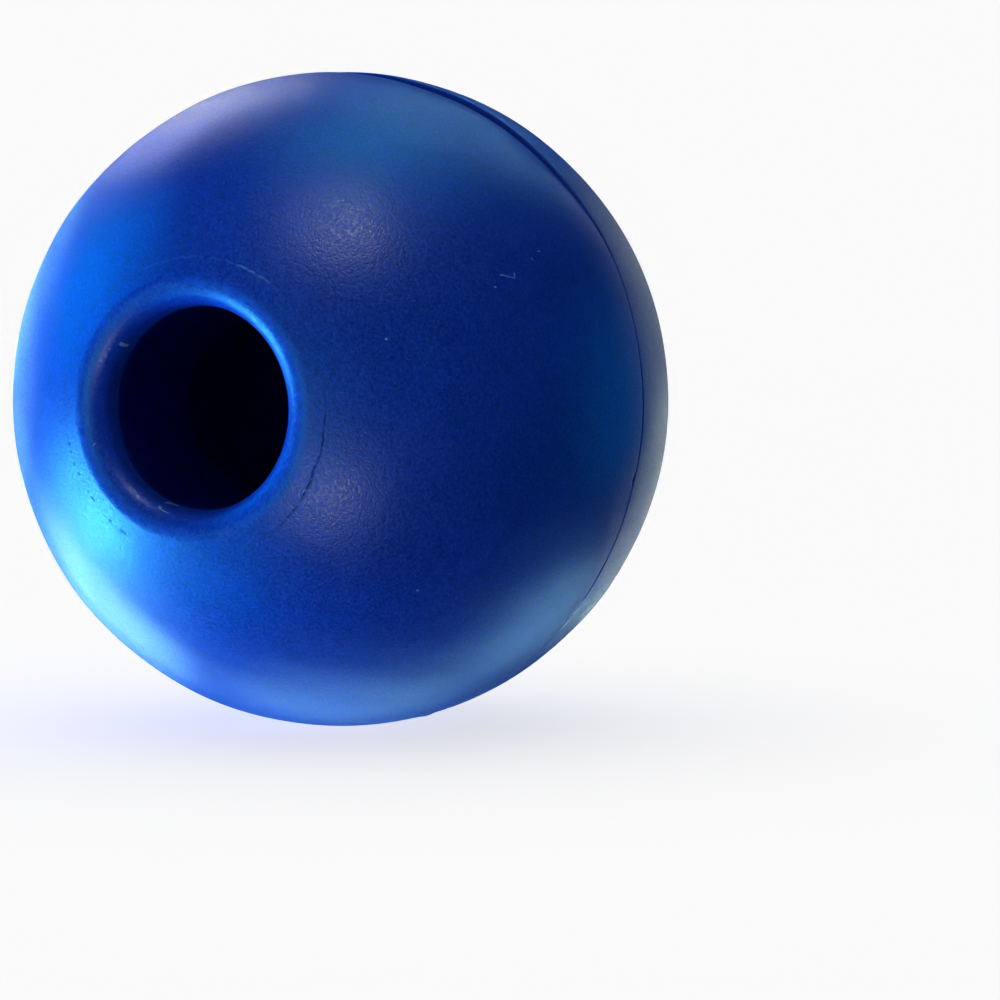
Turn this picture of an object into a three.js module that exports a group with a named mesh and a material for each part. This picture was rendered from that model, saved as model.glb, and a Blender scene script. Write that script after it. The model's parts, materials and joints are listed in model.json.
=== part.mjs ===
// Rope stopper ball: a plastic ball with a stepped bore, moulded in two halves.
//
// A rope passes through the ball. It comes in by the narrow rope hole, and a knot tied in its end
// sits in the wide knot pocket and bears on the flat shoulder between the two.
//
// Millimetres, +Z up. The bore runs along Y: the rope hole opens towards -Y, the knot pocket
// towards +Y. The origin is the centre of the ball.

import * as THREE from "three";

// ---- driving dimensions ----

const BALL_RADIUS = 20;

// The shoulder that the knot bears on, and the pocket that holds the knot.
const SHOULDER_Y = -10;
const POCKET_FLOOR_RADIUS = 8.0;
const POCKET_DRAFT = THREE.MathUtils.degToRad(1.3);
const POCKET_CORNER_RADIUS = 0.6;
const KNOT_MOUTH_ROUNDING = 0.45;

// The rope hole widens from its throat at the shoulder to its well-rounded mouth.
const THROAT_RADIUS = 4.9;
const ROPE_HOLE_DRAFT = THREE.MathUtils.degToRad(7.5);
const ROPE_MOUTH_ROUNDING = 1.3;

// The halves meet at the equator. A ring on the rope-end half stands in a groove in the other.
const JOINT_GAP = 0.3;
const RING_INNER_RADIUS = 12.5;
const RING_OUTER_RADIUS = 15.5;
const RING_HEIGHT = 2.4;

// ---- how finely the round shapes are divided ----

const SEGMENTS_AROUND = 64;
const SPHERE_STEPS = 14;
const ROPE_MOUTH_STEPS = 7;
const KNOT_MOUTH_STEPS = 3;
const CORNER_STEPS = 3;

// ---- profile helpers: x is the distance from the bore's axis, y the place along it ----

/** Points along an arc from one angle to another, both ends included. */
function arc(centre, radius, from, to, steps) {
  const points = [];
  for (let i = 0; i <= steps; i += 1) {
    const angle = from + ((to - from) * i) / steps;
    points.push(
      new THREE.Vector2(
        centre.x + radius * Math.cos(angle),
        centre.y + radius * Math.sin(angle),
      ),
    );
  }
  return points;
}

/** The ball's outside, from one point on it to another. */
function ballArc(from, to, steps) {
  const centre = new THREE.Vector2(0, 0);
  const start = Math.atan2(from.y, from.x);
  const end = Math.atan2(to.y, to.x);
  return arc(centre, BALL_RADIUS, start, end, steps);
}

/**
 * The rounding between a tapered bore and the ball's outside, from the bore to the outside.
 * The bore's wall starts at `foot`, and opens at `draft` towards `side`, which is +1 for +Y.
 */
function mouthArc(foot, draft, side, rounding, steps) {
  const alongWall = new THREE.Vector2(Math.sin(draft), side * Math.cos(draft));
  const intoWall = new THREE.Vector2(Math.cos(draft), -side * Math.sin(draft));
  const start = foot.clone().addScaledVector(intoWall, rounding);

  // How far along the wall a circle of this rounding touches the ball's outside from within.
  const reach = BALL_RADIUS - rounding;
  const half = start.dot(alongWall);
  const travel = -half + Math.sqrt(half * half - start.lengthSq() + reach * reach);
  const centre = start.addScaledVector(alongWall, travel);

  const atWall = Math.PI - side * draft;
  const atBall = Math.atan2(centre.y, centre.x);
  const wallAngle = side > 0 ? atWall : -Math.PI - side * draft;
  return arc(centre, rounding, wallAngle, atBall, steps);
}

/** The pocket's radius at a place along the bore. */
function pocketRadiusAt(y) {
  return POCKET_FLOOR_RADIUS + (y - SHOULDER_Y) * Math.tan(POCKET_DRAFT);
}

/** A point on the ball's outside at a place along the bore. */
function ballPointAt(y) {
  return new THREE.Vector2(Math.sqrt(BALL_RADIUS * BALL_RADIUS - y * y), y);
}

/** Turns a closed profile about the bore's axis. */
function turned(profile) {
  return new THREE.LatheGeometry([...profile, profile[0].clone()], SEGMENTS_AROUND);
}

// ---- the two halves ----

/** The half with the rope hole, the shoulder, and the ring that locates the other half. */
function ropeEndHalf() {
  const faceY = -JOINT_GAP / 2;
  const ringTopY = faceY + RING_HEIGHT;
  const rim = ballPointAt(faceY);

  const throat = new THREE.Vector2(THROAT_RADIUS, SHOULDER_Y);
  const mouth = mouthArc(throat, ROPE_HOLE_DRAFT, -1, ROPE_MOUTH_ROUNDING, ROPE_MOUTH_STEPS);
  const outside = ballArc(mouth[mouth.length - 1], rim, SPHERE_STEPS);

  const cornerCentre = new THREE.Vector2(
    POCKET_FLOOR_RADIUS - POCKET_CORNER_RADIUS,
    SHOULDER_Y + POCKET_CORNER_RADIUS,
  );
  const corner = arc(
    cornerCentre,
    POCKET_CORNER_RADIUS,
    -POCKET_DRAFT,
    -Math.PI / 2,
    CORNER_STEPS,
  );

  return turned([
    new THREE.Vector2(pocketRadiusAt(faceY), faceY),
    ...corner,
    throat,
    ...mouth,
    ...outside.slice(1),
    new THREE.Vector2(RING_OUTER_RADIUS, faceY),
    new THREE.Vector2(RING_OUTER_RADIUS, ringTopY),
    new THREE.Vector2(RING_INNER_RADIUS, ringTopY),
    new THREE.Vector2(RING_INNER_RADIUS, faceY),
  ]);
}

/** The half with the mouth of the knot pocket, and the groove for the ring. */
function knotEndHalf() {
  const faceY = JOINT_GAP / 2;
  const grooveBottomY = RING_HEIGHT - JOINT_GAP / 2 + JOINT_GAP;
  const rim = ballPointAt(faceY);

  const pocketFoot = new THREE.Vector2(POCKET_FLOOR_RADIUS, SHOULDER_Y);
  const mouth = mouthArc(pocketFoot, POCKET_DRAFT, 1, KNOT_MOUTH_ROUNDING, KNOT_MOUTH_STEPS);
  const outside = ballArc(rim, mouth[mouth.length - 1], SPHERE_STEPS);

  return turned([
    new THREE.Vector2(pocketRadiusAt(faceY), faceY),
    new THREE.Vector2(RING_INNER_RADIUS - JOINT_GAP, faceY),
    new THREE.Vector2(RING_INNER_RADIUS - JOINT_GAP, grooveBottomY),
    new THREE.Vector2(RING_OUTER_RADIUS + JOINT_GAP, grooveBottomY),
    new THREE.Vector2(RING_OUTER_RADIUS + JOINT_GAP, faceY),
    ...outside,
    ...mouth.reverse().slice(1),
  ]);
}

// ---- materials and assembly ----

const satinBluePlastic = {
  color: new THREE.Color("#114a9f"),
  roughness: 0.5,
  metalness: 0,
};

/** One named half in the ball's plastic. */
function piece(name, geometry) {
  const material = new THREE.MeshStandardMaterial(satinBluePlastic);
  const mesh = new THREE.Mesh(geometry, material);
  mesh.name = name;
  return mesh;
}

const stopperBall = new THREE.Group();
stopperBall.add(piece("rope_end_half", ropeEndHalf()));
stopperBall.add(piece("knot_end_half", knotEndHalf()));

export default stopperBall;
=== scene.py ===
"""The looks of the rope stopper ball: two finely modelled halves in satin blue moulded plastic.

The bore runs along Y. The rope hole opens towards -Y, the knot pocket towards +Y, and the halves meet
in the plane y = 0. Lengths in the shape code are millimetres, and meshes are made in metres.
"""

import json
import math

import bpy
import numpy as np
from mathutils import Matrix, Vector, noise


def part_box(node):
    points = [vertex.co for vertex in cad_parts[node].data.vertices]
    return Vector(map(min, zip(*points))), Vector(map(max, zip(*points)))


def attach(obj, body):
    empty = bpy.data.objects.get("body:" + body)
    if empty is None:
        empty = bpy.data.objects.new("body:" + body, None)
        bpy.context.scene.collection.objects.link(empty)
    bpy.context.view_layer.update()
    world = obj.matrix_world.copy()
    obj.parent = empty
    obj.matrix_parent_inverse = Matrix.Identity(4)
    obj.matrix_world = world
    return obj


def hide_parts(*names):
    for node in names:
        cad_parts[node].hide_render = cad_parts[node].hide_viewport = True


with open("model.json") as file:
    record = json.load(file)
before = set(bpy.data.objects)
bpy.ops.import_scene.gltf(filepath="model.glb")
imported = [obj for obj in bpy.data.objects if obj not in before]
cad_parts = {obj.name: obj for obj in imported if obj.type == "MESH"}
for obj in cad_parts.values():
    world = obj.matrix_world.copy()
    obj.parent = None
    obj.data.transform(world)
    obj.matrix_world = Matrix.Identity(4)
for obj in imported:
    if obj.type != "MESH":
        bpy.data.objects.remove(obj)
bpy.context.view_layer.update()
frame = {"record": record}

MM = 0.001

# ---- sizes that the CAD model sets ----

rope_end_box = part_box("rope_end_half")
knot_seat = next(m for m in frame["record"]["mounts"] if m["name"] == "knot_seat")

BALL_RADIUS = (rope_end_box[1].x - rope_end_box[0].x) / 2 / MM
SHOULDER_Y = knot_seat["pos_m"][1] / MM
POCKET_FLOOR_RADIUS = 8.0
POCKET_DRAFT = math.radians(1.3)
POCKET_CORNER_RADIUS = 0.6
KNOT_MOUTH_ROUNDING = 0.45
THROAT_RADIUS = 4.9
THROAT_ROUNDING = 0.25
ROPE_HOLE_DRAFT = math.radians(7.5)
ROPE_MOUTH_ROUNDING = 1.3
RING_INNER_RADIUS = 12.5
RING_OUTER_RADIUS = 15.5
RING_HEIGHT = 2.4
RING_CLEARANCE = 0.3

# ---- sizes that only the fine surface has ----

SEAM_GAP = 0.04
RIM_ROUNDING = 0.1
SEGMENTS_AROUND = 900

# A thin ring round the rope mouth, left by the mould: part ridge, part crack. The crack and its dashes are
# also painted near black: painted shade in the crack.
WITNESS_RADIUS = 0.4265 * BALL_RADIUS
WITNESS_WANDER = 0.09
WITNESS_RIDGE_HEIGHT = 0.026
WITNESS_CRACK_DEPTH = 0.05
WITNESS_LINE_WIDTH = 0.06
# Where it goes, in degrees of azimuth: a ridge that is clearer over part of its length, a crack, and dashes.
RIDGE_SPAN = (53, 112)
CLEAR_RIDGE_SPAN = (56, 72)
CRACK_SPAN = (-56, 2)
DASHES_SPAN = (186, 244)
FAINT_CRACK = 0.12

# The rope half's edge is trimmed back over part of the way round.
TRIM_DEPTH = 0.45
TRIM_MIDDLE = math.radians(67)
TRIM_HALF_SPREAD = math.radians(44)
TRIM_REACH = 4.0
KNOT_BEVEL_DEPTH = 0.06
KNOT_BEVEL_REACH = 0.9

# Small nubs of flash on the seam: (azimuth, width, height).
FLASH_NUBS = (
    (math.radians(-54), math.radians(1.1), 0.09),
    (math.radians(-61), math.radians(0.8), 0.07),
    (math.radians(-73), math.radians(1.4), 0.1),
    (math.radians(148), math.radians(1.2), 0.08),
    (math.radians(171), math.radians(0.9), 0.06),
    (math.radians(239), math.radians(1.3), 0.08),
)
FLASH_NUB_REACH = 0.35
NICK_AZIMUTH = math.radians(-13)
NICK_WIDTH = math.radians(0.9)
NICK_DEPTH = 0.12

# A ragged line of flash on the knot pocket's wall, strongest over part of it, and two faint tool rings.
POCKET_FLASH_Y = 13.9
POCKET_FLASH_HEIGHT = 0.1
POCKET_FLASH_SPAN = (60, 210)
POCKET_RING_Y = 11.1
POCKET_RING_DEPTH = 0.03
FLOOR_RING_RADIUS = 6.4
FLOOR_RING_DEPTH = 0.03

SKIN_WAVE_HEIGHT = 0.012


def arc(centre, radius, start, end, step):
    """Points on an arc, both ends included, about `step` apart."""
    count = max(2, math.ceil(abs(end - start) * radius / step))
    angles = np.linspace(start, end, count + 1)
    return [(centre[0] + radius * math.cos(a), centre[1] + radius * math.sin(a)) for a in angles]


def line(start, end, step):
    """Points on a straight line, both ends included, about `step` apart."""
    length = math.dist(start, end)
    count = max(1, math.ceil(length / step))
    start, end = np.array(start), np.array(end)
    return [tuple(start + (end - start) * i / count) for i in range(count + 1)]


def mouth_circle(foot, draft, side, rounding):
    """Centre of the rounding between a tapered bore and the ball's outside."""
    along = np.array([math.sin(draft), side * math.cos(draft)])
    into = np.array([math.cos(draft), -side * math.sin(draft)])
    start = np.array(foot) + into * rounding
    reach = BALL_RADIUS - rounding
    half = start @ along
    travel = -half + math.sqrt(half * half - start @ start + reach * reach)
    return start + along * travel


def pocket_radius(y):
    return POCKET_FLOOR_RADIUS + (y - SHOULDER_Y) * math.tan(POCKET_DRAFT)


def graded_arc(start, end, fine_spots, fine, coarse):
    """Angles along the ball's outside, closer together near the fine spots (angle, reach in mm)."""
    angles = [start]
    direction = 1 if end > start else -1
    while (end - angles[-1]) * direction > 0:
        here = angles[-1]
        step = coarse
        for spot, reach in fine_spots:
            away = max(0.0, abs(here - spot) * BALL_RADIUS - reach)
            step = min(step, fine + away * 0.3)
        angles.append(here + direction * step / BALL_RADIUS)
    angles[-1] = end
    return angles


# ---- profiles: (distance from the bore's axis, place along it), in order round the section ----


def rope_end_profile():
    face = -SEAM_GAP / 2
    rim_reach = BALL_RADIUS - RIM_ROUNDING
    rim_y = face - RIM_ROUNDING
    rim_centre = (math.sqrt(rim_reach**2 - rim_y**2), rim_y)
    rim_angle = math.atan2(rim_centre[1], rim_centre[0])

    mouth = mouth_circle((THROAT_RADIUS, SHOULDER_Y), ROPE_HOLE_DRAFT, -1, ROPE_MOUTH_ROUNDING)
    mouth_angle = math.atan2(mouth[1], mouth[0])
    wall_angle = -math.pi + ROPE_HOLE_DRAFT
    mouth_arc = arc(mouth, ROPE_MOUTH_ROUNDING, wall_angle, mouth_angle, 0.08)

    throat_centre = (THROAT_RADIUS + THROAT_ROUNDING, SHOULDER_Y - THROAT_ROUNDING)
    throat_arc = arc(throat_centre, THROAT_ROUNDING, math.pi / 2, math.pi, 0.08)
    corner_centre = (POCKET_FLOOR_RADIUS - POCKET_CORNER_RADIUS, SHOULDER_Y + POCKET_CORNER_RADIUS)
    corner_arc = arc(corner_centre, POCKET_CORNER_RADIUS, -POCKET_DRAFT, -math.pi / 2, 0.1)

    witness_angle = -math.acos(WITNESS_RADIUS / BALL_RADIUS)
    outside = [
        (BALL_RADIUS * math.cos(a), BALL_RADIUS * math.sin(a))
        for a in graded_arc(mouth_angle, rim_angle, [(witness_angle, 0.3), (rim_angle, 0.5)], 0.035, 0.4)
    ]
    return (
        line((pocket_radius(face), face), corner_arc[0], 0.5)[:-1]
        + corner_arc
        + line(corner_arc[-1], (FLOOR_RING_RADIUS + 0.15, SHOULDER_Y), 0.3)[1:]
        + line((FLOOR_RING_RADIUS + 0.15, SHOULDER_Y), (FLOOR_RING_RADIUS - 0.15, SHOULDER_Y), 0.04)[1:]
        + line((FLOOR_RING_RADIUS - 0.15, SHOULDER_Y), throat_arc[0], 0.3)[1:-1]
        + throat_arc
        + line(throat_arc[-1], mouth_arc[0], 0.3)[1:-1]
        + mouth_arc
        + outside[1:]
        + arc(rim_centre, RIM_ROUNDING, rim_angle, math.pi / 2, 0.02)[1:]
        + [
            (RING_OUTER_RADIUS, face),
            (RING_OUTER_RADIUS, face + RING_HEIGHT),
            (RING_INNER_RADIUS, face + RING_HEIGHT),
            (RING_INNER_RADIUS, face),
        ]
    )


def knot_end_profile():
    face = SEAM_GAP / 2
    rim_reach = BALL_RADIUS - RIM_ROUNDING
    rim_y = face + RIM_ROUNDING
    rim_centre = (math.sqrt(rim_reach**2 - rim_y**2), rim_y)
    rim_angle = math.atan2(rim_centre[1], rim_centre[0])

    mouth = mouth_circle((POCKET_FLOOR_RADIUS, SHOULDER_Y), POCKET_DRAFT, 1, KNOT_MOUTH_ROUNDING)
    mouth_angle = math.atan2(mouth[1], mouth[0])
    wall_angle = math.pi - POCKET_DRAFT
    mouth_arc = arc(mouth, KNOT_MOUTH_ROUNDING, mouth_angle, wall_angle, 0.05)

    outside = [
        (BALL_RADIUS * math.cos(a), BALL_RADIUS * math.sin(a))
        for a in graded_arc(rim_angle, mouth_angle, [(rim_angle, 0.7)], 0.04, 0.4)
    ]
    groove_y = face + RING_HEIGHT + RING_CLEARANCE
    wall = []
    stops = [
        (mouth_arc[-1][1], 0.3),
        (POCKET_FLASH_Y + 0.3, 0.04),
        (POCKET_FLASH_Y - 0.3, 0.4),
        (POCKET_RING_Y + 0.15, 0.04),
        (POCKET_RING_Y - 0.15, 0.4),
        (face, None),
    ]
    for (start, step), (end, _) in zip(stops, stops[1:]):
        wall += line((pocket_radius(start), start), (pocket_radius(end), end), step)[1:]
    return (
        [
            (RING_INNER_RADIUS - RING_CLEARANCE, face),
            (RING_INNER_RADIUS - RING_CLEARANCE, groove_y),
            (RING_OUTER_RADIUS + RING_CLEARANCE, groove_y),
            (RING_OUTER_RADIUS + RING_CLEARANCE, face),
        ]
        + arc(rim_centre, RIM_ROUNDING, -math.pi / 2, rim_angle, 0.02)
        + outside[1:]
        + mouth_arc[1:]
        + wall
    )


# ---- what moulding and use leave on the surface, with painted shade in the crack ----


def bell(distance, width):
    """One at the middle, fading to nothing about two widths away."""
    return np.exp(-((distance / width) ** 2))


def turned_from(around, azimuth):
    """The angle from an azimuth, between minus and plus half a turn."""
    return (around - azimuth + math.pi) % (2 * math.pi) - math.pi


def between(around, span, soft):
    """One between the two azimuths of a span in degrees, with soft ends."""
    start, end = span
    middle = math.radians((start + end) / 2)
    half_spread = math.radians((end - start) / 2)
    outside = np.abs(turned_from(around, middle)) - half_spread
    return np.clip(0.5 - outside / math.radians(soft), 0, 1)


def ragged(around, rate, seed):
    """Uneven values from about -1 to 1 that close up after a full turn."""
    turn = around[:, 0]
    places = [Vector((math.cos(a) * rate, math.sin(a) * rate, seed)) for a in turn]
    values = [noise.noise(place, noise_basis="PERLIN_NEW") for place in places]
    return 2 * np.array(values)[:, None]


def skin_wave(points):
    """A very slight unevenness, the same for both halves."""
    x, y, z = points[..., 0], points[..., 1], points[..., 2]
    wave = np.sin(0.61 * x + 0.43 * y + 1.3) + np.sin(0.37 * x - 0.52 * z + 0.4)
    wave += np.sin(0.71 * z + 0.33 * y + 2.2) + 0.6 * np.sin(1.13 * x + 0.9 * z - 0.8 * y)
    return wave * SKIN_WAVE_HEIGHT


def trimming(around):
    """How much of the seam's edge is trimmed away, from nought to about one."""
    trim = np.clip(1 - np.abs(turned_from(around, TRIM_MIDDLE)) / TRIM_HALF_SPREAD, 0, 1)
    return np.sin(trim * math.pi / 2) ** 1.5 * (1 + 0.12 * ragged(around, 5, 3.1))


def rope_end_wear(radius, along, around):
    """How far each point of the rope half moves outward, and its mark: pale above nought, and below nought
    painted shade in the crack.
    """
    from_centre = np.hypot(radius, along)
    skin = from_centre > BALL_RADIUS - 2 * RIM_ROUNDING
    angle = np.arctan2(along, radius)

    near_edge = np.clip(1 + along / TRIM_REACH, 0, 1) ** 2
    move = -TRIM_DEPTH * trimming(around) * near_edge

    nub_shape = np.clip(1 + along / FLASH_NUB_REACH, 0, 1)
    for azimuth, width, height in FLASH_NUBS:
        move = move + height * bell(turned_from(around, azimuth), width) * nub_shape
    move = move - NICK_DEPTH * bell(turned_from(around, NICK_AZIMUTH), NICK_WIDTH) * nub_shape

    witness_angle = -math.acos(WITNESS_RADIUS / BALL_RADIUS)
    wander = ragged(around, 3, 7.7) + 0.5 * ragged(around, 14, 1.9) + 0.25 * ragged(around, 50, 4.4)
    across = (angle - witness_angle) * BALL_RADIUS - WITNESS_WANDER * wander
    line_shape = bell(across, WITNESS_LINE_WIDTH)
    ridge = between(around, RIDGE_SPAN, 8) * (0.35 + 0.65 * between(around, CLEAR_RIDGE_SPAN, 6))
    ridge = ridge * np.clip(0.8 + 0.6 * ragged(around, 40, 5.5) + 0.4 * ragged(around, 110, 2.8), 0, 1)
    crack = between(around, CRACK_SPAN, 12) * np.clip(0.85 + 0.9 * ragged(around, 24, 2.3), 0, 1)
    crack = crack * np.clip(0.9 + 0.7 * ragged(around, 75, 3.7), 0, 1)
    dashes = between(around, DASHES_SPAN, 10) * np.clip(1.4 * ragged(around, 30, 9.1), 0, 1)
    faint = FAINT_CRACK * np.clip(0.5 + ragged(around, 9, 4.2), 0, 1)
    crack = np.clip(crack + dashes + faint, 0, 1)
    move = move + line_shape * (WITNESS_RIDGE_HEIGHT * ridge - WITNESS_CRACK_DEPTH * crack)
    # Below nought the mark is painted shade in the crack, drawn near black.
    mark = line_shape * (ridge - crack)
    return np.where(skin, move, 0), np.where(skin, mark, 0)


def knot_end_wear(radius, along, around):
    """The same for the knot half: a bevel at the seam, and flash and tool marks in the pocket."""
    wall = (radius < POCKET_FLOOR_RADIUS + 1) & (np.hypot(radius, along) < BALL_RADIUS - 0.5)
    wander = 0.12 * ragged(around, 6, 1.2)
    flash = np.clip(0.55 + 0.8 * ragged(around, 26, 6.6), 0, 1)
    flash = flash * (0.35 + 0.65 * between(around, POCKET_FLASH_SPAN, 40))
    flash_line = bell(along - POCKET_FLASH_Y - wander, 0.09) * flash
    tool_ring = bell(along - POCKET_RING_Y, 0.06)
    wall_move = -POCKET_FLASH_HEIGHT * flash_line + POCKET_RING_DEPTH * tool_ring
    fleck = flash_line * np.clip(2.5 * ragged(around, 60, 8.3) - 0.4, 0, 1)
    skin = np.hypot(radius, along) > BALL_RADIUS - 2 * RIM_ROUNDING
    bevel = -KNOT_BEVEL_DEPTH * trimming(around) * np.clip(1 - along / KNOT_BEVEL_REACH, 0, 1) ** 1.5
    move = np.where(wall, wall_move, 0) + np.where(skin, bevel, 0)
    return move, np.where(wall, 0.25 * flash_line + fleck, 0)


def turned_half(name, profile, wear):
    """A closed solid turned about the bore's axis from a closed profile, with its wear and moulding marks and
    the painted shade of its crack.
    """
    profile = np.array(profile)
    count = len(profile)
    turn = np.linspace(0, 2 * math.pi, SEGMENTS_AROUND, endpoint=False)
    radius = np.repeat(profile[None, :, 0], SEGMENTS_AROUND, axis=0)
    along = np.repeat(profile[None, :, 1], SEGMENTS_AROUND, axis=0)
    around = np.repeat(turn[:, None], count, axis=1)
    move, mark = wear(radius, along, around)

    floor_ring = (np.abs(along - SHOULDER_Y) < 0.001) & (radius < POCKET_FLOOR_RADIUS)
    sunk = np.where(floor_ring, FLOOR_RING_DEPTH * bell(radius - FLOOR_RING_RADIUS, 0.06), 0)
    moved_radius = radius + move
    points = np.stack([moved_radius * np.cos(around), along - sunk, moved_radius * np.sin(around)], axis=-1)
    distance = np.linalg.norm(points, axis=-1, keepdims=True)
    skin = distance > BALL_RADIUS - 2 * RIM_ROUNDING - TRIM_DEPTH
    points = np.where(skin, points * (1 + skin_wave(points)[..., None] / distance), points)

    ring = np.arange(SEGMENTS_AROUND)[:, None] * count
    next_ring = (np.arange(SEGMENTS_AROUND)[:, None] + 1) % SEGMENTS_AROUND * count
    here = np.arange(count)[None, :]
    next_here = (here + 1) % count
    quads = np.stack([ring + here, ring + next_here, next_ring + next_here, next_ring + here], axis=-1)

    mesh = bpy.data.meshes.new(name)
    mesh.from_pydata((points.reshape(-1, 3) * MM).tolist(), [], quads.reshape(-1, 4).tolist())
    marks = mesh.attributes.new("marks", "FLOAT", "POINT")
    marks.data.foreach_set("value", mark.reshape(-1).astype(np.float32))
    mesh.shade_smooth()
    mesh.update()
    half = bpy.data.objects.new(name, mesh)
    bpy.context.scene.collection.objects.link(half)
    return half


# ---- material ----

BLUE = (0.004, 0.09, 0.62)
DUST_COLOUR = (0.35, 0.5, 0.8, 1)
SCUFF_COLOUR = (0.12, 0.24, 0.6, 1)
# Near black: painted shade in the witness crack and its dashes.
CRACK_SHADE_COLOUR = (0.0, 0.003, 0.03, 1)
RIDGE_COLOUR = (0.22, 0.42, 0.85, 1)
HAIR_COLOUR = (0.55, 0.7, 0.9, 1)
SATIN_ROUGHNESS = 0.4
SPECULAR_LEVEL = 1.0

# How many times each noise changes in a millimetre.
CLOUD_RATE = 0.16
PEEL_RATE = 0.75
BLOTCH_RATE = 0.9
SCUFF_RATE = 1.7
PIT_RATE = 3.1
GRAIN_RATE = 5.2
PORE_RATE = 9.0

# Heights of the finest relief, in millimetres.
PEEL_HEIGHT = 0.012
GRAIN_HEIGHT = 0.018
PORE_HEIGHT = 0.008
HAIR_HEIGHT = 0.02

# Short pale hairs and specks on the skin: azimuth and latitude of one end and heading from east, all in
# degrees, then length and half width in millimetres.
HAIRS = (
    (26, -30.5, 115, 0.95, 0.035),
    (25, -28, 25, 0.2, 0.03),
    (24, -32.5, 95, 0.07, 0.045),
    (27.5, -23, 155, 0.14, 0.03),
    (28.5, -21, 105, 0.2, 0.03),
    (19.5, -53.5, 115, 0.07, 0.05),
    (-42, -39.5, 60, 0.05, 0.05),
    (144, -71.4, 180, 0.2, 0.03),
    (-161, -70, -130, 0.15, 0.03),
    (-112.6, -71.3, 5, 0.2, 0.03),
    (-111, -71.2, 0, 0.65, 0.015),
    (150, 45, 130, 0.75, 0.035),
    (76, 29, -125, 0.65, 0.03),
)
HAIR_SKIN_DEPTH = 2.1


class Graph:
    """Short names for the nodes that the plastic is built from."""

    def __init__(self, material):
        self.nodes = material.node_tree.nodes
        self.links = material.node_tree.links

    def plug(self, value, socket):
        if isinstance(value, bpy.types.NodeSocket):
            self.links.new(value, socket)
        else:
            socket.default_value = value

    def math(self, operation, first, second=0.0, clamp=False):
        node = self.nodes.new("ShaderNodeMath")
        node.operation = operation
        node.use_clamp = clamp
        self.plug(first, node.inputs[0])
        self.plug(second, node.inputs[1])
        return node.outputs["Value"]

    def vector(self, operation, first, second=(0, 0, 0), output="Vector"):
        node = self.nodes.new("ShaderNodeVectorMath")
        node.operation = operation
        self.plug(first, node.inputs[0])
        self.plug(second, node.inputs[1])
        return node.outputs[output]

    def scaled(self, vector, factor):
        node = self.nodes.new("ShaderNodeVectorMath")
        node.operation = "SCALE"
        self.plug(vector, node.inputs[0])
        self.plug(factor, node.inputs["Scale"])
        return node.outputs["Vector"]

    def ranged(self, value, low, high, to_low, to_high):
        node = self.nodes.new("ShaderNodeMapRange")
        self.plug(value, node.inputs["Value"])
        self.plug(low, node.inputs["From Min"])
        self.plug(high, node.inputs["From Max"])
        self.plug(to_low, node.inputs["To Min"])
        self.plug(to_high, node.inputs["To Max"])
        return node.outputs["Result"]

    def noise(self, place, scale, detail=2.0, roughness=0.5):
        node = self.nodes.new("ShaderNodeTexNoise")
        self.plug(place, node.inputs["Vector"])
        node.inputs["Scale"].default_value = scale
        node.inputs["Detail"].default_value = detail
        node.inputs["Roughness"].default_value = roughness
        return node.outputs["Fac"]

    def mix_colour(self, share, first, second):
        node = self.nodes.new("ShaderNodeMix")
        node.data_type = "RGBA"
        self.plug(share, node.inputs["Factor"])
        self.plug(first, node.inputs["A"])
        self.plug(second, node.inputs["B"])
        return node.outputs["Result"]

    def bump(self, height, distance, normal=None):
        node = self.nodes.new("ShaderNodeBump")
        node.inputs["Strength"].default_value = 1.0
        node.inputs["Distance"].default_value = distance * MM
        self.plug(height, node.inputs["Height"])
        if normal is not None:
            self.plug(normal, node.inputs["Normal"])
        return node.outputs["Normal"]


def hair_ends(azimuth, latitude, heading, length):
    """Both ends of a hair on the ball, in millimetres."""
    turn, rise, course = math.radians(azimuth), math.radians(latitude), math.radians(heading)
    outward = Vector((math.cos(rise) * math.cos(turn), math.sin(rise), math.cos(rise) * math.sin(turn)))
    east = Vector((-math.sin(turn), 0, math.cos(turn)))
    north = Vector((-math.sin(rise) * math.cos(turn), math.cos(rise), -math.sin(rise) * math.sin(turn)))
    start = outward * BALL_RADIUS
    return start, start + (east * math.cos(course) + north * math.sin(course)) * length


def hair_mask(graph, place):
    """One on the hairs and specks of the outer skin, nought elsewhere. The place is in millimetres."""
    on_ball = graph.scaled(graph.vector("NORMALIZE", place), BALL_RADIUS)
    mask = None
    for azimuth, latitude, heading, length, half_width in HAIRS:
        start, end = hair_ends(azimuth, latitude, heading, length)
        along = end - start
        from_start = graph.vector("SUBTRACT", on_ball, tuple(start))
        share = graph.vector("DOT_PRODUCT", from_start, tuple(along / along.length_squared), "Value")
        share = graph.math("ADD", share, 0.0, clamp=True)
        nearest = graph.scaled(tuple(along), share)
        away = graph.vector("DISTANCE", from_start, nearest, "Value")
        one = graph.ranged(away, half_width * 0.5, half_width * 1.6, 1.0, 0.0)
        mask = one if mask is None else graph.math("MAXIMUM", mask, one)
    from_centre = graph.vector("LENGTH", place, output="Value")
    skin_start = BALL_RADIUS - HAIR_SKIN_DEPTH
    return graph.math("MULTIPLY", mask, graph.ranged(from_centre, skin_start, skin_start + 0.1, 0.0, 1.0))


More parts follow.
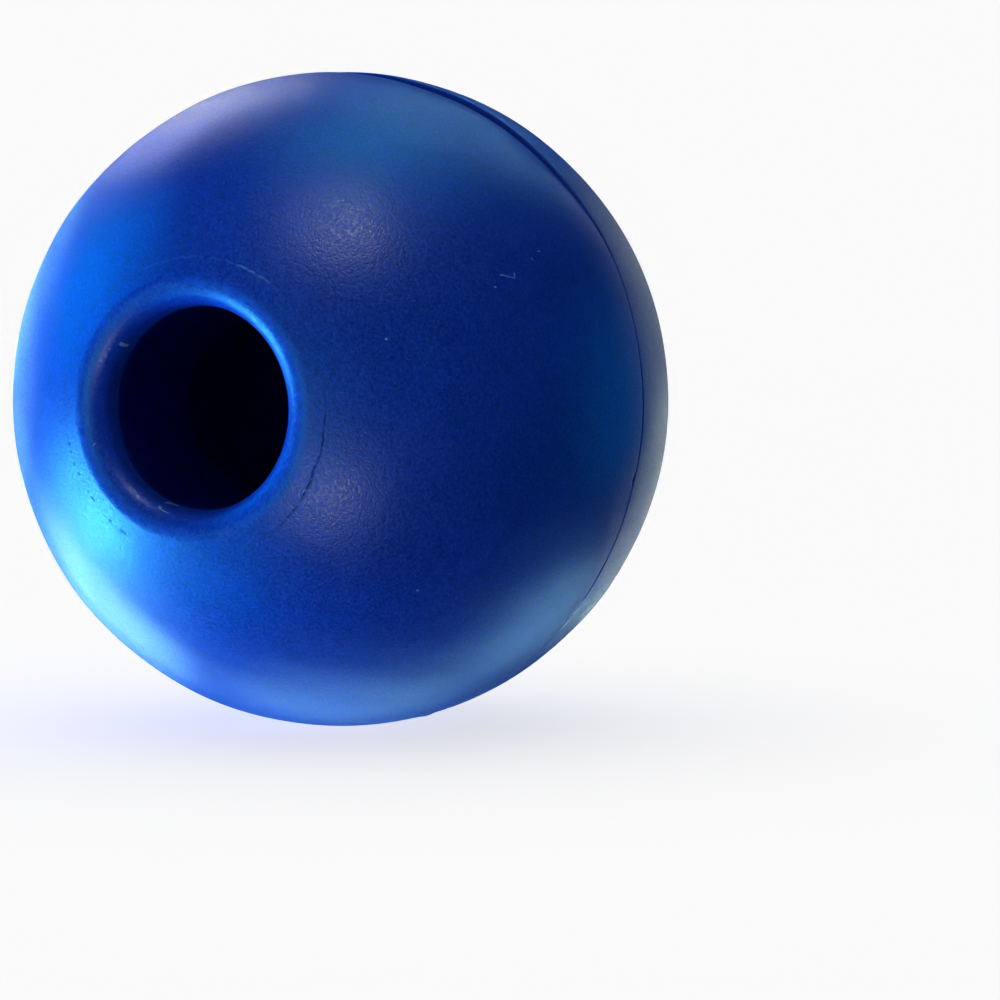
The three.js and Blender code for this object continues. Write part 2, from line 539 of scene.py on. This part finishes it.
def satin_blue_plastic():
    material = bpy.data.materials.new("satin_blue_plastic")
    material.use_nodes = True
    graph = Graph(material)
    shader = graph.nodes["Principled BSDF"]
    shader.inputs["Specular IOR Level"].default_value = SPECULAR_LEVEL

    coordinates = graph.nodes.new("ShaderNodeTexCoord")
    place = graph.scaled(coordinates.outputs["Object"], 1 / MM)

    cloud = graph.noise(place, CLOUD_RATE, 3.0)
    blotch = graph.noise(place, BLOTCH_RATE, 3.0, 0.6)
    grain = graph.noise(place, GRAIN_RATE, 2.0, 0.6)
    pore = graph.noise(place, PORE_RATE, 1.0)
    peel = graph.noise(place, PEEL_RATE, 2.0)

    axis = graph.nodes.new("ShaderNodeSeparateXYZ")
    graph.plug(place, axis.inputs[0])
    across = graph.math("POWER", axis.outputs["X"], 2.0)
    across = graph.math("ADD", across, graph.math("POWER", axis.outputs["Z"], 2.0))
    from_axis = graph.math("SQRT", across)
    rope_side = graph.ranged(axis.outputs["Y"], -14.0, -16.5, 0.0, 1.0)
    mouth_zone = graph.math("MULTIPLY", graph.ranged(from_axis, 11.0, 7.0, 0.0, 1.0), rope_side)

    scuff_noise = graph.noise(place, SCUFF_RATE, 4.0, 0.7)
    scuff = graph.math("MULTIPLY", graph.ranged(scuff_noise, 0.56, 0.68, 0.0, 1.0), mouth_zone)
    pits = graph.ranged(graph.noise(place, PIT_RATE, 2.0), 0.26, 0.2, 0.0, 1.0)

    shade = graph.ranged(cloud, 0.3, 0.7, 0.92, 1.08)
    shade = graph.math("MULTIPLY", shade, graph.ranged(blotch, 0.3, 0.7, 0.95, 1.05))
    shade = graph.math("MULTIPLY", shade, graph.ranged(grain, 0.3, 0.7, 0.8, 1.2))
    shade = graph.math("MULTIPLY", shade, graph.ranged(pits, 0.0, 1.0, 1.0, 0.8))
    shaded = graph.scaled(BLUE, shade)

    marks = graph.nodes.new("ShaderNodeAttribute")
    marks.attribute_name = "marks"
    pale = graph.math("MULTIPLY", graph.math("MAXIMUM", marks.outputs["Fac"], 0.0), 0.9, clamp=True)
    # dark: painted shade, near black, wherever the marks fall below nought, in the witness crack and its
    # dashes.
    dark = graph.math("MULTIPLY", graph.math("MINIMUM", marks.outputs["Fac"], 0.0), -0.7, clamp=True)
    hairs = hair_mask(graph, place)
    dust = graph.ranged(pore, 0.5, 0.75, 0.0, 0.13)
    colour = graph.mix_colour(dust, shaded, DUST_COLOUR)
    colour = graph.mix_colour(graph.math("MULTIPLY", scuff, 0.12), colour, SCUFF_COLOUR)
    # Paints the crack's shade near black.
    colour = graph.mix_colour(dark, colour, CRACK_SHADE_COLOUR)
    colour = graph.mix_colour(pale, colour, RIDGE_COLOUR)
    colour = graph.mix_colour(graph.math("MULTIPLY", hairs, 0.7), colour, HAIR_COLOUR)
    graph.plug(colour, shader.inputs["Base Color"])

    rough = graph.ranged(cloud, 0.3, 0.7, SATIN_ROUGHNESS - 0.04, SATIN_ROUGHNESS + 0.04)
    rough = graph.math("ADD", rough, graph.ranged(grain, 0.3, 0.7, -0.09, 0.09))
    rough = graph.math("ADD", rough, graph.math("MULTIPLY", scuff, 0.12))
    rough = graph.math("ADD", rough, graph.math("MULTIPLY", dark, 0.3))
    graph.plug(rough, shader.inputs["Roughness"])

    normal = graph.bump(peel, PEEL_HEIGHT)
    normal = graph.bump(grain, GRAIN_HEIGHT, normal)
    normal = graph.bump(pore, PORE_HEIGHT, normal)
    normal = graph.bump(hairs, HAIR_HEIGHT, normal)
    graph.plug(normal, shader.inputs["Normal"])
    return material


plastic = satin_blue_plastic()

rope_end = turned_half("rope_end_moulding", rope_end_profile(), rope_end_wear)
knot_end = turned_half("knot_end_moulding", knot_end_profile(), knot_end_wear)
for half, node in ((rope_end, "rope_end_half"), (knot_end, "knot_end_half")):
    half.data.materials.append(plastic)
    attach(half, "root")
    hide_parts(node)

# ---- stage ----

FLOOR_REACH = 1.6
STUDIO_WHITE = 0.965
FLOOR_SHADOW_SHARE = 0.22
PAPER_ALBEDO = 0.3
FLOOR_LAMP_SPREAD = math.radians(100)
FLOOR_LAMP_HEIGHT = 0.6


def make_floor():
    """Pale paper. The ball itself doesn't see it, so it is lit by the lamps alone."""
    mesh = bpy.data.meshes.new("floor")
    z = -BALL_RADIUS * MM
    corners = [
        (-FLOOR_REACH, -FLOOR_REACH, z),
        (FLOOR_REACH, -FLOOR_REACH, z),
        (FLOOR_REACH, FLOOR_REACH, z),
        (-FLOOR_REACH, FLOOR_REACH, z),
    ]
    mesh.from_pydata(corners, [], [(0, 1, 2, 3)])
    floor = bpy.data.objects.new("floor", mesh)
    bpy.context.scene.collection.objects.link(floor)
    material = bpy.data.materials.new("floor_paper")
    material.use_nodes = True
    nodes, links = material.node_tree.nodes, material.node_tree.links
    shader = nodes["Principled BSDF"]
    shader.inputs["Roughness"].default_value = 0.9
    shader.inputs["Specular IOR Level"].default_value = 0.0
    shader.inputs["Base Color"].default_value = (PAPER_ALBEDO, PAPER_ALBEDO, PAPER_ALBEDO, 1)
    glow = STUDIO_WHITE * (1 - FLOOR_SHADOW_SHARE)
    shader.inputs["Emission Color"].default_value = (1, 1, 1, 1)
    shader.inputs["Emission Strength"].default_value = glow
    dark = nodes.new("ShaderNodeBsdfDiffuse")
    dark.inputs["Color"].default_value = (0, 0, 0, 1)
    path = nodes.new("ShaderNodeLightPath")
    mix = nodes.new("ShaderNodeMixShader")
    links.new(path.outputs["Is Camera Ray"], mix.inputs["Fac"])
    links.new(dark.outputs["BSDF"], mix.inputs[1])
    links.new(shader.outputs["BSDF"], mix.inputs[2])
    links.new(mix.outputs["Shader"], nodes["Material Output"].inputs["Surface"])
    mesh.materials.append(material)
    return floor


floor = make_floor()

# ---- camera ----

CAMERA_AZIMUTH = math.radians(27.7)
CAMERA_ELEVATION = math.radians(1.8)
CAMERA_DISTANCE = 10.5 * BALL_RADIUS * MM
SENSOR = 36.0
LENS = 123.0
LOOK_RIGHT = 9.7
LOOK_DOWN = 6.2
CLIP_START = 0.01
CLIP_END = 10

camera_back = Vector((
    math.sin(CAMERA_AZIMUTH) * math.cos(CAMERA_ELEVATION),
    -math.cos(CAMERA_AZIMUTH) * math.cos(CAMERA_ELEVATION),
    math.sin(CAMERA_ELEVATION),
))
camera_right = Vector((math.cos(CAMERA_AZIMUTH), math.sin(CAMERA_AZIMUTH), 0))
camera_up = camera_back.cross(camera_right)


def make_camera():
    """Shows the bore obliquely, and looks right of and below the ball's centre."""
    data = bpy.data.cameras.new("camera")
    camera = bpy.data.objects.new("camera", data)
    bpy.context.scene.collection.objects.link(camera)
    data.sensor_width = SENSOR
    data.lens = LENS
    data.clip_start = CLIP_START
    data.clip_end = CLIP_END
    camera.location = camera_back * CAMERA_DISTANCE
    look_at = (camera_right * LOOK_RIGHT - camera_up * LOOK_DOWN) * MM
    aim = look_at - camera.location
    camera.rotation_mode = "QUATERNION"
    camera.rotation_quaternion = aim.to_track_quat("-Z", "Y")
    bpy.context.scene.camera = camera


make_camera()

# ---- light ----

LAMP_DISTANCE = 0.45

WHITE = (1.0, 1.0, 1.0)
SKY = (0.15, 0.8, 1.0)
PALE_SKY = (0.4, 0.8, 1.0)
DEEP_SKY = (0.0, 0.45, 1.0)
WARM = (0.9, 1.0, 0.75)

BROAD = 0.3
SOFT = 0.22
SMALL = 0.06

# Where each lamp stands, seen from the camera: shares to the right, up, and towards the camera.
# Then its width in metres, its power in watts and its colour.
LAMPS = {
    "window": ((-0.9, -0.4, -0.2), SOFT, 2.2, SKY),
    "window_top": ((-0.85, 0.4, -0.3), BROAD, 0.8, DEEP_SKY),
    "low_window": ((-0.6, -0.7, 0.2), BROAD, 0.4, DEEP_SKY),
    "front_fill": ((-0.5, -0.1, 0.85), BROAD, 0.5, SKY),
    "ceiling": ((0.1, 1.0, -0.1), BROAD, 0.4, SKY),
    "ceiling_back": ((0.3, 0.75, -0.55), BROAD, 0.3, PALE_SKY),
    "right_fill": ((0.95, 0.0, -0.3), BROAD, 0.25, DEEP_SKY),
    "left_rim": ((-0.5, 0.1, -0.85), SOFT, 0.35, PALE_SKY),
    "low_left_rim": ((-0.55, -0.45, -0.7), SOFT, 1.0, PALE_SKY),
    "high_left_rim": ((-0.3, 0.6, -0.75), SOFT, 0.35, WHITE),
    "low_rim": ((0.0, -0.8, -0.6), BROAD, 0.5, PALE_SKY),
    "low_right_rim": ((0.55, -0.65, -0.5), SOFT, 0.4, PALE_SKY),
    "high_right_rim": ((0.55, 0.2, -0.8), SOFT, 0.1, WARM),
    "right_rim": ((0.5, -0.2, -0.85), SOFT, 0.2, WARM),
    "upper_glint": ((0.0, 0.9, 0.5), SMALL, 0.3, WHITE),
    "lower_glint": ((-0.1, -0.5, 0.85), SMALL, 0.25, WHITE),
}

POCKET_LAMP_RADIUS = 2.5
POCKET_LAMP_PLACE = (-6.5, 14.5, 0.0)
POCKET_LAMP_POWER = 0.0015

KNOT_FLAG_RADIUS = 8.6
KNOT_FLAG_Y = 16.6
BORE_FLAG_RADIUS = 5.7
BORE_FLAG_Y = -16.95
FLAG_SEGMENTS = 48


def make_flag(name, radius, y):
    """An unseen card in a mouth of the bore, which stands in the studio lamps' way and keeps the bore dark."""
    mesh = bpy.data.meshes.new(name)
    turn = np.linspace(0, 2 * math.pi, FLAG_SEGMENTS, endpoint=False)
    rim = [(radius * math.cos(a) * MM, y * MM, radius * math.sin(a) * MM) for a in turn]
    mesh.from_pydata(rim, [], [tuple(range(len(rim)))])
    flag = bpy.data.objects.new(name, mesh)
    bpy.context.scene.collection.objects.link(flag)
    flag.visible_camera = False
    flag.visible_diffuse = False
    flag.visible_glossy = False
    flag.visible_transmission = False
    return flag


def collected(name, *objects):
    collection = bpy.data.collections.new(name)
    for thing in objects:
        collection.objects.link(thing)
    return collection


knot_flag = make_flag("knot_flag", KNOT_FLAG_RADIUS, KNOT_FLAG_Y)
bore_flag = make_flag("bore_flag", BORE_FLAG_RADIUS, BORE_FLAG_Y)
ball_parts = collected("ball_parts", rope_end, knot_end)
ball_and_flags = collected("ball_and_flags", rope_end, knot_end, knot_flag, bore_flag)


def light_ball_only(lamp, blockers):
    """The lamp shines on the ball, and only the blockers stand in its way."""
    lamp.light_linking.receiver_collection = ball_parts
    lamp.light_linking.blocker_collection = blockers


def make_lamp(name, direction, width, power, colour):
    """A round soft lamp that looks at the ball."""
    data = bpy.data.lights.new(name, "AREA")
    data.shape = "DISK"
    data.size = width
    data.energy = power
    data.color = colour
    lamp = bpy.data.objects.new(name, data)
    bpy.context.scene.collection.objects.link(lamp)
    away = (camera_right * direction[0] + camera_up * direction[1] + camera_back * direction[2]).normalized()
    lamp.location = away * LAMP_DISTANCE
    lamp.rotation_mode = "QUATERNION"
    lamp.rotation_quaternion = (-away).to_track_quat("-Z", "Y")
    lamp.visible_camera = False
    data.cycles.use_multiple_importance_sampling = False
    light_ball_only(lamp, ball_and_flags)


for lamp_name, facts in LAMPS.items():
    make_lamp(lamp_name, *facts)


def make_pocket_lamp():
    """A small soft lamp just inside the knot pocket's mouth. It lights only the wall that faces it."""
    data = bpy.data.lights.new("pocket_lamp", "AREA")
    data.shape = "DISK"
    data.size = 2 * POCKET_LAMP_RADIUS * MM
    data.energy = POCKET_LAMP_POWER
    lamp = bpy.data.objects.new("pocket_lamp", data)
    bpy.context.scene.collection.objects.link(lamp)
    lamp.location = Vector(POCKET_LAMP_PLACE) * MM
    lamp.rotation_mode = "QUATERNION"
    lamp.rotation_quaternion = Vector((1, 0, 0)).to_track_quat("-Z", "Y")
    lamp.visible_camera = False
    lamp.visible_glossy = False
    data.cycles.use_multiple_importance_sampling = False
    data.cycles.max_bounces = 0
    light_ball_only(lamp, ball_parts)


make_pocket_lamp()


def make_floor_lamp():
    """Even light from overhead for the floor alone, with a soft shadow of the ball."""
    data = bpy.data.lights.new("floor_lamp", "SUN")
    data.angle = FLOOR_LAMP_SPREAD
    data.energy = STUDIO_WHITE * FLOOR_SHADOW_SHARE * math.pi / PAPER_ALBEDO
    lamp = bpy.data.objects.new("floor_lamp", data)
    bpy.context.scene.collection.objects.link(lamp)
    lamp.location = (0, 0, FLOOR_LAMP_HEIGHT)
    lit = bpy.data.collections.new("floor_lamp_lights")
    lit.objects.link(floor)
    lamp.light_linking.receiver_collection = lit


make_floor_lamp()


def make_world():
    """Pale to the camera, and dark to everything else, so that the lamps alone light the ball."""
    world = bpy.data.worlds.new("studio")
    world.use_nodes = True
    nodes, links = world.node_tree.nodes, world.node_tree.links
    seen = nodes["Background"]
    seen.inputs["Color"].default_value = (STUDIO_WHITE, STUDIO_WHITE, STUDIO_WHITE, 1)
    lighting = nodes.new("ShaderNodeBackground")
    lighting.inputs["Strength"].default_value = 0.0
    path = nodes.new("ShaderNodeLightPath")
    mix = nodes.new("ShaderNodeMixShader")
    links.new(path.outputs["Is Camera Ray"], mix.inputs["Fac"])
    links.new(lighting.outputs["Background"], mix.inputs[1])
    links.new(seen.outputs["Background"], mix.inputs[2])
    links.new(mix.outputs["Shader"], nodes["World Output"].inputs["Surface"])
    bpy.context.scene.world = world


make_world()
bpy.context.scene.view_settings.view_transform = "Standard"
bpy.context.scene.view_settings.gamma = 0.8
